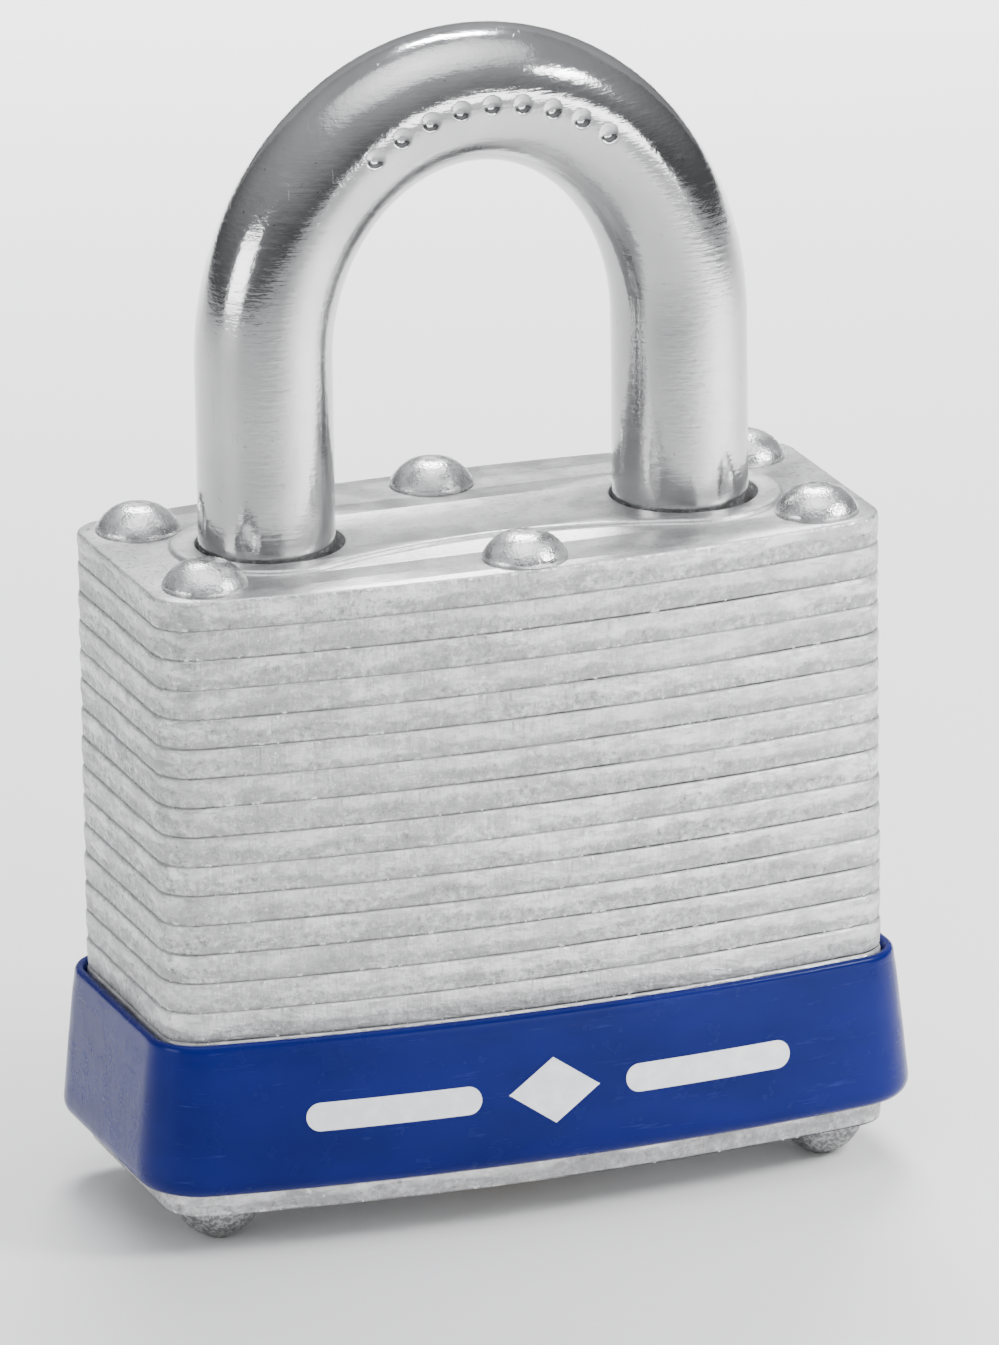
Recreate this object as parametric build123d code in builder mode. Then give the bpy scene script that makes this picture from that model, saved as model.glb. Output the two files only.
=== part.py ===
"""A 40 mm laminated padlock: riveted steel plates, a bent shackle held by two levers, a pin
cylinder and a plastic bumper.

Millimetres. +Z is up along the shackle legs, X runs from leg to leg and Y from front to back.
The origin is under the middle of the body, level with the lowest points of the bottom rivet heads.
"""

from build123d import *
from math import atan2, degrees, sqrt
import os

os.makedirs("parts", exist_ok=True)

# ---- body plates ----
PLATE_COUNT = 21
PLATE_THICK = 1.5875  # 1/16 in sheet
BODY_WIDTH = 40.0
BODY_DEPTH = 18.6  # front to back, at the middle
FACE_RADIUS = 115.0  # the front and back edges of a plate are shallow arcs
CORNER_RADIUS = 2.2
EDGE_ROLL = 0.18  # the rounded upper edge that punching leaves
BOSS_HEIGHT = 0.25  # raised field around the shackle holes of the top plate
BOSS_RADIUS = 5.2
BOSS_WAIST = 3.1
BOSS_ROLL = 0.2
DRAIN_RADIUS = 1.2

# ---- rivets ----
CORNER_RIVET_X = 16.85
CORNER_RIVET_Y = 5.3
MIDDLE_RIVET_Y = 7.0
CORNER_SHANK = 1.65  # radii
MIDDLE_SHANK = 1.3
RIVET_GAP = 0.02
HEAD_RADIUS = 2.25
HEAD_RIM = 0.25
HEAD_SHOULDER = (0.8, 0.52)  # a point of the dome, as shares of its radius and of its rise
HEAD_FLAT = 0.6  # radius of the small flat on top of a dome
TOP_HEAD = 1.45
BOTTOM_HEAD = 2.0
MIDDLE_RIVET_PLATES = 7
COUNTERSINK_DEPTH = 0.8
COUNTERSINK_RADIUS = 1.9

# ---- shackle ----
SHACKLE_RADIUS = 7.14 / 2  # 9/32 in bar
LEG_X = 11.45
HOLE_RADIUS = 3.875
CLEARANCE_HEIGHT = 19.5  # top plate to the inside of the arch
ARCH_RISE = 13.1  # the arch is a little taller than a half circle
REST_X = -0.12  # the shackle rests against one side of its holes
REST_Y = 0.12
LIFT = 10.8
TOE_DEPTH = 10.2
NOTCH_DEPTH = 1.3
NOTCH_PLAY = 3.6  # how far the shackle rises before the notch floor meets the lever
NECK_RADIUS = 2.5
NECK_TOP = 11.0
FOOT_LENGTH = 1.9
END_BEVEL = 0.5
NOTCH_HEADROOM = 0.1  # above the lever's nose when the shackle is down

# ---- clip around the heel leg's neck ----
RETAINER_WIDTH = 8.0
RETAINER_DEPTH = 8.2
RETAINER_CORNER = 1.0
RETAINER_GAP = 0.35  # around the neck

# ---- springs: coil radius, wire thickness and number of turns ----
SHACKLE_SPRING = (2.6, 0.5, 6)
LEVER_SPRING = (0.5, 0.22, 7)
PIN_SPRING = (1.0, 0.3, 6)
LEVER_SPRING_SEAT = (-7.1, 1.52)
LEVER_SPRING_LENGTH = 5.2
SEAT_GAP = 0.02

# ---- levers, turning on the middle rivets ----
LEVER_THICK = 1.45
LEVER_BORE = 1.36
LEVER_REACH = 8.88  # from the middle of the lock to the tip of the nose
REAR_LEVER_PLATE = 3
FRONT_LEVER_PLATE = 4
RETAINER_PLATE = 8
CAM_HALF_LENGTH = 2.0
CAM_HALF_WIDTH = 0.9
CAM_SWEEP = 2.45  # radius kept clear for the turning cam
CAM_SIDE_GAP = 0.13
STEM_RADIUS = 2.4
STEM_HOLE = 2.55
POCKET_ROUNDING = 0.3
# corners of the front lever and of its pocket, from the middle of the lock
LEVER_CORNERS = (
    (-LEVER_REACH, -0.6),
    (-7.9, -2.4),
    (-2.4, -7.4),
    (1.2, -7.4),
    (2.7, -6.5),
    (2.9, -1.9),
    (2.4, -1.4),
    (1.05, -1.4),
    (-5.9, 0.6),
    (-6.3, 1.5),
    (-LEVER_REACH, 1.5),
)
POCKET_CORNERS = (
    (-8.7, -2.9),
    (-3.2, -7.7),
    (-2.2, -8.15),
    (3.7, -8.15),
    (5.5, -5.2),
    (5.3, -2.0),
    (-0.6, 3.8),
    (-3.4, 5.3),
    (-5.4, 6.8),
    (-8.2, 6.8),
    (-8.7, 2.4),
)

# ---- cylinder ----
PLUG_RADIUS = 4.7
PLUG_NOSE = 4.1
PLUG_RECESS = 0.15  # the plug's face lies this far inside the bottom plate
PLUG_BEVEL = 0.25
PLUG_END_GAP = 0.03
PLUG_BORE = 4.74
HOUSING_RADIUS = 6.2
CAVITY_GAP = 0.08
TOWER_REACH = 13.2
TOWER_HALF_WIDTH = 2.7
KEYWAY_WIDTH = 1.3
KEYWAY_STEP = 2.5  # length of each of the slot's three overlapping runs
KEYWAY_RUNS = ((-2.3, 0.32), (-0.15, -0.32), (2.0, 0.32))  # middle of each run
KEYWAY_ROOF = 2.1
SLOT_WIDTH = 2.3  # across the plug's inner end, for the cam's tongue
SLOT_DEPTH = 1.6
TONGUE = (2.2, 4.4, 1.5)
PIN_RADIUS = 1.4
PIN_BORE = 1.45
PIN_PITCH = 3.8
FIRST_PIN = 4.3  # above the lower end of the housing
KEY_PIN_LENGTHS = (2.6, 3.4, 3.0, 2.2)
DRIVER_LENGTH = 3.6
KEY_PIN_TIP = 0.7
DRIVER_BEVEL = 0.15
SHEAR_GAP = 0.04
COVER_THICK = 0.5
COVER_HALF_WIDTH = 1.9
COVER_GAP = 0.04

# ---- bumper ----
BUMPER_LOW = 1.35  # above the bottom of the stack
BUMPER_HIGH = 9.5
BUMPER_GAP = 0.1
BUMPER_RIM = 0.62
BUMPER_FLARE = 1.5
BUMPER_FOOT_ROUNDING = 0.7
BUMPER_RIM_ROUNDING = 0.2

# ---- levels ----
STACK_LOW = BOTTOM_HEAD
STACK_HIGH = STACK_LOW + PLATE_COUNT * PLATE_THICK


def below(depth):
    """Height of a level that lies a given depth below the upper face of the top plate."""
    return STACK_HIGH - depth


def plate_low(number):
    """Lower face of a plate, counting from 1 at the top."""
    return below(number * PLATE_THICK)


def plate_high(number):
    return plate_low(number - 1)


LEVER_LIFT = (PLATE_THICK - LEVER_THICK) / 2
SIDE_Y = BODY_DEPTH / 2 - (FACE_RADIUS - sqrt(FACE_RADIUS**2 - (BODY_WIDTH / 2) ** 2))
RETAINER_LOW = plate_low(RETAINER_PLATE) + LEVER_LIFT
FOOT_TOP = RETAINER_LOW - LIFT - 0.05
SPRING_SEAT = plate_high(20)
HOUSING_LOW = plate_high(PLATE_COUNT) + RIVET_GAP
HOUSING_HIGH = plate_low(RETAINER_PLATE) - RIVET_GAP
PIN_HEIGHTS = [HOUSING_LOW + FIRST_PIN + i * PIN_PITCH for i in range(len(KEY_PIN_LENGTHS))]


def save(piece, name):
    piece.part.label = name
    export_step(piece.part, f"parts/{name}.step")


def facing(rear, height):
    """A level plane as the front lever sees it, or turned half round for the rear lever."""
    return Plane(origin=(0, 0, height), x_dir=(-1 if rear else 1, 0, 0), z_dir=(0, 0, 1))


# ---------------------------------------------------------------- plates


def plate_outline():
    """The outline of every plate: shallow arcs front and back, straight sides, round corners."""
    half = BODY_WIDTH / 2
    with BuildSketch() as outline:
        with BuildLine():
            ThreePointArc((-half, -SIDE_Y), (0, -BODY_DEPTH / 2), (half, -SIDE_Y))
            Line((half, -SIDE_Y), (half, SIDE_Y))
            ThreePointArc((half, SIDE_Y), (0, BODY_DEPTH / 2), (-half, SIDE_Y))
            Line((-half, SIDE_Y), (-half, -SIDE_Y))
        make_face()
        fillet(outline.vertices(), CORNER_RADIUS)
    return outline.sketch


def lever_pocket():
    """The room that one lever and its spring need, as the front lever sees it."""
    with BuildSketch() as pocket:
        with BuildLine():
            Polyline(*POCKET_CORNERS, close=True)
        make_face()
        fillet(pocket.vertices(), POCKET_ROUNDING)
        Circle(STEM_HOLE + 0.2)
    return pocket.sketch


def boss_outline():
    """The raised field of the top plate: a disc around each hole, flowing into a slimmer waist."""
    flank = (LEG_X**2 + BOSS_WAIST**2 - BOSS_RADIUS**2) / (2 * (BOSS_RADIUS - BOSS_WAIST))
    share = BOSS_RADIUS / (flank + BOSS_RADIUS)
    x, y = LEG_X * (1 - share), (BOSS_WAIST + flank) * share
    with BuildSketch() as boss:
        with BuildLine():
            ThreePointArc((-x, -y), (0, -BOSS_WAIST), (x, -y))
            ThreePointArc((x, -y), (LEG_X + BOSS_RADIUS, 0), (x, y))
            ThreePointArc((x, y), (0, BOSS_WAIST), (-x, y))
            ThreePointArc((-x, y), (-LEG_X - BOSS_RADIUS, 0), (-x, -y))
        make_face()
    return boss.sketch


def make_plate(number, name):
    low, high = plate_low(number), plate_high(number)
    in_cylinder = RETAINER_PLATE < number < PLATE_COUNT
    with BuildPart() as plate:
        with BuildSketch(Plane.XY.offset(low)):
            add(plate_outline())
        extrude(amount=PLATE_THICK)
        fillet(plate.faces().sort_by(Axis.Z)[-1].edges(), EDGE_ROLL)
        if number == 1:
            with BuildSketch(Plane.XY.offset(high)):
                add(boss_outline())
            extrude(amount=BOSS_HEIGHT)
            fillet(plate.faces().sort_by(Axis.Z)[-1].edges(), BOSS_ROLL)
        with BuildSketch(Plane.XY.offset(low)):
            with GridLocations(2 * CORNER_RIVET_X, 2 * CORNER_RIVET_Y, 2, 2):
                Circle(CORNER_SHANK + RIVET_GAP)
            if number <= MIDDLE_RIVET_PLATES:
                with Locations((0, -MIDDLE_RIVET_Y), (0, MIDDLE_RIVET_Y)):
                    Circle(MIDDLE_SHANK + RIVET_GAP)
                with Locations((LEG_X, 0)):
                    Circle(HOLE_RADIUS)
            if number < 20:
                with Locations((-LEG_X, 0)):
                    Circle(HOLE_RADIUS)
            if FRONT_LEVER_PLATE < number <= RETAINER_PLATE:
                Circle(STEM_HOLE)
            if in_cylinder:
                Circle(HOUSING_RADIUS + CAVITY_GAP)
                with Locations((TOWER_REACH / 2, 0)):
                    Rectangle(TOWER_REACH + 2 * CAVITY_GAP, 2 * (TOWER_HALF_WIDTH + CAVITY_GAP))
            if number == PLATE_COUNT:
                Circle(PLUG_NOSE + 0.1)
                with Locations((-LEG_X, 0)):
                    Circle(DRAIN_RADIUS)
        extrude(amount=PLATE_THICK + BOSS_HEIGHT, mode=Mode.SUBTRACT)
        if number in (REAR_LEVER_PLATE, FRONT_LEVER_PLATE):
            with BuildSketch(facing(number == REAR_LEVER_PLATE, low)):
                add(lever_pocket())
            extrude(amount=PLATE_THICK, mode=Mode.SUBTRACT)
        if number == RETAINER_PLATE:
            with BuildSketch(Plane.XY.offset(low)):
                add(retainer_outline(RIVET_GAP))
            extrude(amount=PLATE_THICK, mode=Mode.SUBTRACT)
        if number == MIDDLE_RIVET_PLATES:
            with Locations(Plane.XY.offset(low + COUNTERSINK_DEPTH / 2)):
                with Locations((0, -MIDDLE_RIVET_Y), (0, MIDDLE_RIVET_Y)):
                    Cone(
                        COUNTERSINK_RADIUS + RIVET_GAP,
                        MIDDLE_SHANK + RIVET_GAP,
                        COUNTERSINK_DEPTH,
                        mode=Mode.SUBTRACT,
                    )
    save(plate, name)


def plate_names():
    names = ["top_plate", "guide_plate", "rear_lever_plate", "front_lever_plate"]
    names += [f"spacer_plate_{i}" for i in range(1, 4)]
    names += ["retainer_plate"]
    names += [f"cylinder_plate_{i:02d}" for i in range(1, 12)]
    return names + ["spring_seat_plate", "bottom_plate"]


# ---------------------------------------------------------------- rivets


def head_profile(height):
    """Half of a rivet head, seen from the side: a thin straight rim below a dome."""
    out, rise = HEAD_SHOULDER
    with BuildSketch(Plane.XZ) as profile:
        with BuildLine():
            Line((0, 0), (HEAD_RADIUS, 0))
            Line((HEAD_RADIUS, 0), (HEAD_RADIUS, HEAD_RIM))
            top = Line((0, height), (HEAD_FLAT, height))
            shoulder = (HEAD_RADIUS * out, HEAD_RIM + (height - HEAD_RIM) * rise)
            ThreePointArc((HEAD_RADIUS, HEAD_RIM), shoulder, top @ 1)
            Line((0, height), (0, 0))
        make_face()
    return profile.sketch


def make_corner_rivets():
    spots = [(x, y) for x in (-CORNER_RIVET_X, CORNER_RIVET_X) for y in (-CORNER_RIVET_Y, CORNER_RIVET_Y)]
    with BuildPart() as rivet:
        with BuildSketch(Plane.XY.offset(STACK_LOW)):
            Circle(CORNER_SHANK)
        extrude(amount=STACK_HIGH - STACK_LOW)
        add(Pos(0, 0, STACK_HIGH) * revolve(head_profile(TOP_HEAD), Axis.Z, mode=Mode.PRIVATE))
        under = revolve(head_profile(BOTTOM_HEAD), Axis.Z, mode=Mode.PRIVATE)
        add(Pos(0, 0, STACK_LOW) * Rot(180, 0, 0) * under)
    with BuildPart() as rivets:
        with Locations(*[(x, y, 0) for x, y in spots]):
            add(rivet.part)
    save(rivets, "corner_rivets")


def make_middle_rivets():
    low = plate_low(MIDDLE_RIVET_PLATES)
    with BuildPart() as rivet:
        with BuildSketch(Plane.XY.offset(low)):
            Circle(MIDDLE_SHANK)
        extrude(amount=STACK_HIGH - low)
        with Locations((0, 0, low + COUNTERSINK_DEPTH / 2)):
            Cone(COUNTERSINK_RADIUS, MIDDLE_SHANK, COUNTERSINK_DEPTH)
        add(Pos(0, 0, STACK_HIGH) * revolve(head_profile(TOP_HEAD), Axis.Z, mode=Mode.PRIVATE))
    with BuildPart() as rivets:
        with Locations((0, -MIDDLE_RIVET_Y, 0), (0, MIDDLE_RIVET_Y, 0)):
            add(rivet.part)
    save(rivets, "middle_rivets")


# ---------------------------------------------------------------- shackle


def leg_notch(side, number):
    """The flat notch that a lever's nose enters, cut across the inner side of one leg."""
    lever_low = plate_low(number) + LEVER_LIFT
    low, high = lever_low - NOTCH_PLAY, lever_low + LEVER_THICK + NOTCH_HEADROOM
    floor = side * (LEG_X - SHACKLE_RADIUS + NOTCH_DEPTH) + REST_X
    reach = 2.0
    with Locations((floor - side * reach / 2, REST_Y, (low + high) / 2)):
        Box(reach, 4 * SHACKLE_RADIUS, high - low, mode=Mode.SUBTRACT)


def make_shackle():
    spring_line = STACK_HIGH + CLEARANCE_HEIGHT + SHACKLE_RADIUS - ARCH_RISE
    toe_end, heel_end = below(TOE_DEPTH), FOOT_TOP - FOOT_LENGTH
    middle = Plane(origin=(REST_X, REST_Y, 0), x_dir=(1, 0, 0), z_dir=(0, -1, 0))
    with BuildPart() as shackle:
        with BuildLine(middle) as bend:
            Line((-LEG_X, heel_end), (-LEG_X, spring_line))
            EllipticalCenterArc((0, spring_line), LEG_X, ARCH_RISE, start_angle=0, arc_size=180)
            Line((LEG_X, spring_line), (LEG_X, toe_end))
        with BuildSketch(Plane(origin=(REST_X - LEG_X, REST_Y, heel_end), z_dir=(0, 0, 1))):
            Circle(SHACKLE_RADIUS)
        sweep(path=bend.wires()[0])
        ends = shackle.faces().filter_by(GeomType.PLANE).edges()
        chamfer(ends, END_BEVEL)
        neck_high = below(NECK_TOP)
        with BuildSketch(Plane.XY.offset(FOOT_TOP)):
            with Locations((REST_X - LEG_X, REST_Y)):
                Circle(2 * SHACKLE_RADIUS)
                Circle(NECK_RADIUS, mode=Mode.SUBTRACT)
        extrude(amount=neck_high - FOOT_TOP, mode=Mode.SUBTRACT)
        leg_notch(-1, FRONT_LEVER_PLATE)
        leg_notch(1, REAR_LEVER_PLATE)
    save(shackle, "shackle")


def retainer_outline(gap):
    """The slotted clip that lies around the heel leg's neck, widened by gap for its pocket."""
    with BuildSketch() as clip:
        with Locations((-LEG_X, 0)):
            RectangleRounded(RETAINER_WIDTH + 2 * gap, RETAINER_DEPTH + 2 * gap, RETAINER_CORNER)
    return clip.sketch


def make_retainer():
    with BuildPart() as clip:
        with BuildSketch(Plane.XY.offset(RETAINER_LOW)):
            add(retainer_outline(0))
            with Locations((-LEG_X, 0)):
                Circle(NECK_RADIUS + RETAINER_GAP, mode=Mode.SUBTRACT)
            with Locations((-LEG_X - RETAINER_WIDTH / 2, 0)):
                Rectangle(RETAINER_WIDTH, 2 * (NECK_RADIUS + RETAINER_GAP), mode=Mode.SUBTRACT)
        extrude(amount=LEVER_THICK)
    save(clip, "shackle_retainer")


def coil(radius, wire, turns, length):
    """A compression spring along +Z, from 0 to length, measured over the wire."""
    pitch = (length - wire) / turns
    path = Helix(pitch, length - wire, radius, center=(0, 0, wire / 2))
    start = path @ 0
    with BuildPart() as spring:
        with BuildSketch(Plane(origin=start, z_dir=path % 0)):
            Circle(wire / 2)
        sweep(path=path, is_frenet=True)
    return spring.part


def make_shackle_spring():
    low, high = SPRING_SEAT + SEAT_GAP, FOOT_TOP - FOOT_LENGTH - SEAT_GAP
    with BuildPart() as spring:
        add(Pos(-LEG_X, 0, low) * coil(*SHACKLE_SPRING, high - low))
    save(spring, "shackle_spring")


# ---------------------------------------------------------------- levers


def lever_outline():
    """The front lever: a nose at -X, a seat on its rivet and a finger beside the cam."""
    pivot = (0, -MIDDLE_RIVET_Y)
    with BuildSketch() as lever:
        with BuildLine():
            Polyline(*LEVER_CORNERS, close=True)
        make_face()
        with Locations(pivot):
            Circle(LEVER_BORE, mode=Mode.SUBTRACT)
        with BuildLine():
            track = CenterArc(pivot, MIDDLE_RIVET_Y, 102, 18)
        SlotArc(track, 2 * CAM_SWEEP, mode=Mode.SUBTRACT)
        with Locations((0, -CAM_HALF_LENGTH / 2)):
            Rectangle(2 * (CAM_HALF_WIDTH + CAM_SIDE_GAP), CAM_HALF_LENGTH + 0.8, mode=Mode.SUBTRACT)
    return lever.sketch


def make_lever(name, number, rear):
    with BuildPart() as lever:
        with BuildSketch(facing(rear, plate_low(number) + LEVER_LIFT)):
            add(lever_outline())
        extrude(amount=LEVER_THICK)
    save(lever, name)


def make_lever_spring(name, number, rear):
    """The small coil between a lever's nose and the wall of its pocket."""
    turn = 180 if rear else 0
    middle = plate_low(number) + PLATE_THICK / 2
    with BuildPart() as spring:
        wound = coil(*LEVER_SPRING, LEVER_SPRING_LENGTH)
        add(Rot(0, 0, turn) * Pos(*LEVER_SPRING_SEAT, middle) * Rot(-90, 0, 0) * wound)
    save(spring, name)


# ---------------------------------------------------------------- cylinder


def make_housing():
    with BuildPart() as housing:
        with BuildSketch(Plane.XY.offset(HOUSING_LOW)):
            Circle(HOUSING_RADIUS)
            with Locations((TOWER_REACH / 2, 0)):
                Rectangle(TOWER_REACH, 2 * TOWER_HALF_WIDTH)
            Circle(PLUG_BORE, mode=Mode.SUBTRACT)
            with Locations((TOWER_REACH - COVER_THICK / 2, 0)):
                Rectangle(COVER_THICK, 2 * COVER_HALF_WIDTH, mode=Mode.SUBTRACT)
        extrude(amount=HOUSING_HIGH - HOUSING_LOW)
        with BuildSketch(Plane.YZ):
            with Locations(*[(0, z) for z in PIN_HEIGHTS]):
                Circle(PIN_BORE)
        extrude(amount=TOWER_REACH, mode=Mode.SUBTRACT)
    save(housing, "cylinder_housing")


def make_spring_cover():
    with BuildPart() as cover:
        with BuildSketch(Plane.XY.offset(HOUSING_LOW)):
            with Locations((TOWER_REACH - COVER_THICK / 2, 0)):
                Rectangle(COVER_THICK - COVER_GAP, 2 * COVER_HALF_WIDTH - COVER_GAP)
        extrude(amount=HOUSING_HIGH - HOUSING_LOW)
    save(cover, "pin_spring_cover")


def make_plug():
    low, high = HOUSING_LOW + PLUG_END_GAP, HOUSING_HIGH - PLUG_END_GAP
    nose_low = STACK_LOW + PLUG_RECESS
    with BuildPart() as plug:
        with BuildSketch(Plane.XY.offset(nose_low)):
            Circle(PLUG_NOSE)
        extrude(amount=low - nose_low)
        with BuildSketch(Plane.XY.offset(low)):
            Circle(PLUG_RADIUS)
        extrude(amount=high - low)
        chamfer(plug.faces().sort_by(Axis.Z)[0].edges(), PLUG_BEVEL)
        with BuildSketch(Plane.XY.offset(nose_low)):
            with Locations(*KEYWAY_RUNS):
                Rectangle(KEYWAY_STEP, KEYWAY_WIDTH)
        extrude(amount=high - KEYWAY_ROOF - nose_low, mode=Mode.SUBTRACT)
        with BuildSketch(Plane.YZ):
            with Locations(*[(0, z) for z in PIN_HEIGHTS]):
                Circle(PIN_BORE)
        extrude(amount=PLUG_RADIUS + 1, mode=Mode.SUBTRACT)
        with BuildSketch(Plane.XY.offset(high)):
            Rectangle(SLOT_WIDTH, 3 * PLUG_RADIUS)
        extrude(amount=-SLOT_DEPTH, mode=Mode.SUBTRACT)
    save(plug, "plug")


def make_cam():
    """The stem and bar that the plug turns: its tongue sits in the slot across the plug's end."""
    stem_low = HOUSING_HIGH
    tongue_width, tongue_length, tongue_depth = TONGUE
    bar_low = plate_low(FRONT_LEVER_PLATE) + LEVER_LIFT
    bar_high = plate_high(REAR_LEVER_PLATE) - LEVER_LIFT
    with BuildPart() as cam:
        with BuildSketch(Plane.XY.offset(stem_low)):
            Circle(STEM_RADIUS)
        extrude(amount=bar_low - stem_low)
        with BuildSketch(Plane.XY.offset(bar_low)):
            Rectangle(2 * CAM_HALF_WIDTH, 2 * CAM_HALF_LENGTH)
        extrude(amount=bar_high - bar_low)
        with BuildSketch(Plane.XY.offset(stem_low)):
            Rectangle(tongue_width, tongue_length)
        extrude(amount=-tongue_depth)
    save(cam, "cam")


def pin(height, inner, outer, tip):
    """A pin lying along X from inner to outer. tip is the length of its tapered inner end."""
    with BuildPart() as body:
        with BuildSketch(Plane.YZ.offset(inner)):
            with Locations((0, height)):
                Circle(PIN_RADIUS)
        extrude(amount=outer - inner)
        chamfer(body.faces().sort_by(Axis.X)[0].edges(), tip)
    return body.part


def make_pin_stack(i):
    """A key pin, its driver and its spring. The key pin's outer end follows the plug's curve."""
    number, height, length = i + 1, PIN_HEIGHTS[i], KEY_PIN_LENGTHS[i]
    shear = PLUG_RADIUS - SHEAR_GAP
    driver_inner = PLUG_BORE + SHEAR_GAP
    driver_outer = driver_inner + DRIVER_LENGTH
    room = TOWER_REACH - COVER_THICK - driver_outer
    with BuildPart() as key_pin:
        add(pin(height, shear - length, shear, KEY_PIN_TIP))
        with Locations((0, 0, height)):
            Cylinder(shear, 4 * PIN_RADIUS, mode=Mode.INTERSECT)
    save(key_pin, f"key_pin_{number}")
    with BuildPart() as driver:
        add(pin(height, driver_inner, driver_outer, DRIVER_BEVEL))
    save(driver, f"driver_pin_{number}")
    with BuildPart() as spring:
        wound = coil(*PIN_SPRING, room - 2 * SEAT_GAP)
        add(Pos(driver_outer + SEAT_GAP, 0, height) * Rot(0, 90, 0) * wound)
    save(spring, f"pin_spring_{number}")


# ---------------------------------------------------------------- bumper


def make_bumper():
    height = BUMPER_HIGH - BUMPER_LOW
    slope = degrees(atan2(BUMPER_FLARE - BUMPER_RIM, height))
    low = STACK_LOW + BUMPER_LOW
    with BuildPart() as bumper:
        with BuildSketch(Plane.XY.offset(low)):
            add(plate_outline())
            offset(amount=BUMPER_FLARE, kind=Kind.ARC)
        extrude(amount=height, taper=slope)
        fillet(bumper.faces().sort_by(Axis.Z)[0].edges(), BUMPER_FOOT_ROUNDING)
        fillet(bumper.faces().sort_by(Axis.Z)[-1].edges(), BUMPER_RIM_ROUNDING)
        with BuildSketch(Plane.XY.offset(low)):
            add(plate_outline())
            offset(amount=BUMPER_GAP, kind=Kind.ARC)
        extrude(amount=height, mode=Mode.SUBTRACT)
    save(bumper, "bumper")


for position, plate_name in enumerate(plate_names(), start=1):
    make_plate(position, plate_name)
make_corner_rivets()
make_middle_rivets()
make_shackle()
make_retainer()
make_shackle_spring()
make_lever("front_lever", FRONT_LEVER_PLATE, rear=False)
make_lever("rear_lever", REAR_LEVER_PLATE, rear=True)
make_lever_spring("front_lever_spring", FRONT_LEVER_PLATE, rear=False)
make_lever_spring("rear_lever_spring", REAR_LEVER_PLATE, rear=True)
make_housing()
make_spring_cover()
make_plug()
make_cam()
for stack in range(len(KEY_PIN_LENGTHS)):
    make_pin_stack(stack)
make_bumper()
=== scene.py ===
"""The looks of a 40 mm laminated padlock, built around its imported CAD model. Metres, +Z up."""

import math

import bmesh
import bpy
from mathutils import Matrix, Vector, noise
from mathutils.geometry import tessellate_polygon


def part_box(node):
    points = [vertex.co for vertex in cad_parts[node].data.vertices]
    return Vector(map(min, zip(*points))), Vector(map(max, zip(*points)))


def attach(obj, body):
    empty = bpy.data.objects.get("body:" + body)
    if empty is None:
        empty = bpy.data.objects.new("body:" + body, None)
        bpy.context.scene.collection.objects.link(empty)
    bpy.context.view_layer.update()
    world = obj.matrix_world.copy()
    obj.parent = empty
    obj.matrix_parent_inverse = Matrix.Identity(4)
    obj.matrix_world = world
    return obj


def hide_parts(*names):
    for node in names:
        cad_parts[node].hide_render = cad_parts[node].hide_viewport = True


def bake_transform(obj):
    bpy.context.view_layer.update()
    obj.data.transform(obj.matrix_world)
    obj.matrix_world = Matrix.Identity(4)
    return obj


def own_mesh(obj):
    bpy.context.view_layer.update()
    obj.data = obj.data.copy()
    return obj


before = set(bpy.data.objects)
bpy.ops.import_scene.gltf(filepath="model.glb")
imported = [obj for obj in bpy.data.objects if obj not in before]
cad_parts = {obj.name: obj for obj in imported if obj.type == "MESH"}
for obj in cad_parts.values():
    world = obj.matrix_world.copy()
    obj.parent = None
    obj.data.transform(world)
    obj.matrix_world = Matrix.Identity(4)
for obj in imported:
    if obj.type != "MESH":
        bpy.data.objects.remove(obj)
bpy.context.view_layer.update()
MM = 0.001


# ---------------------------------------------------------------- driving sizes, from the frame

top_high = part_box("top_plate")[1]
guide_low, guide_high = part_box("guide_plate")
bottom_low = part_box("bottom_plate")[0]
shackle_low, shackle_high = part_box("shackle")
bumper_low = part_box("bumper")[0]

PITCH = guide_high.z - guide_low.z
STACK_LOW = bottom_low.z
STACK_HIGH = guide_high.z + PITCH
HALF_WIDTH = guide_high.x
PLATE_COUNT = 21
HALF_DEPTH = 9.3 * MM
FACE_RADIUS = 115 * MM
CORNER_RADIUS = 2.2 * MM
BOSS_HEIGHT = top_high.z - STACK_HIGH
CORNER_RIVET = (16.85 * MM, 5.3 * MM)
MIDDLE_RIVET = 7.0 * MM
CORNER_SHANK, MIDDLE_SHANK = 1.63 * MM, 1.3 * MM
HEAD_RADIUS, HEAD_HEIGHT = 2.25 * MM, 1.45 * MM
LEG_X = 11.45 * MM
HOLE_RADIUS = 3.875 * MM

# plates counted from the top
FRONT_LEVER_PLATE, REAR_LEVER_PLATE = 3, 4
MIDDLE_RIVET_PLATES = 7
RETAINER_PLATE = 8
SPRING_SEAT_PLATE = 20
BAR_RADIUS = (shackle_high.x - shackle_low.x) / 2 - LEG_X
SHACKLE_X = (shackle_high.x + shackle_low.x) / 2
SHACKLE_Y = 0.12 * MM


# ---------------------------------------------------------------- mesh helpers


def new_piece(name, verts, faces, material, smooth=True):
    mesh = bpy.data.meshes.new(name)
    mesh.from_pydata(verts, [], faces)
    mesh.validate()
    mesh.materials.append(material)
    bm = bmesh.new()
    bm.from_mesh(mesh)
    # rings that share a stretch of outline are joined there
    bmesh.ops.remove_doubles(bm, verts=bm.verts, dist=0.00001 * MM)
    bmesh.ops.recalc_face_normals(bm, faces=bm.faces)
    bm.to_mesh(mesh)
    bm.free()
    for polygon in mesh.polygons:
        polygon.use_smooth = smooth
    piece = bpy.data.objects.new(name, mesh)
    bpy.context.scene.collection.objects.link(piece)
    return piece


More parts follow.
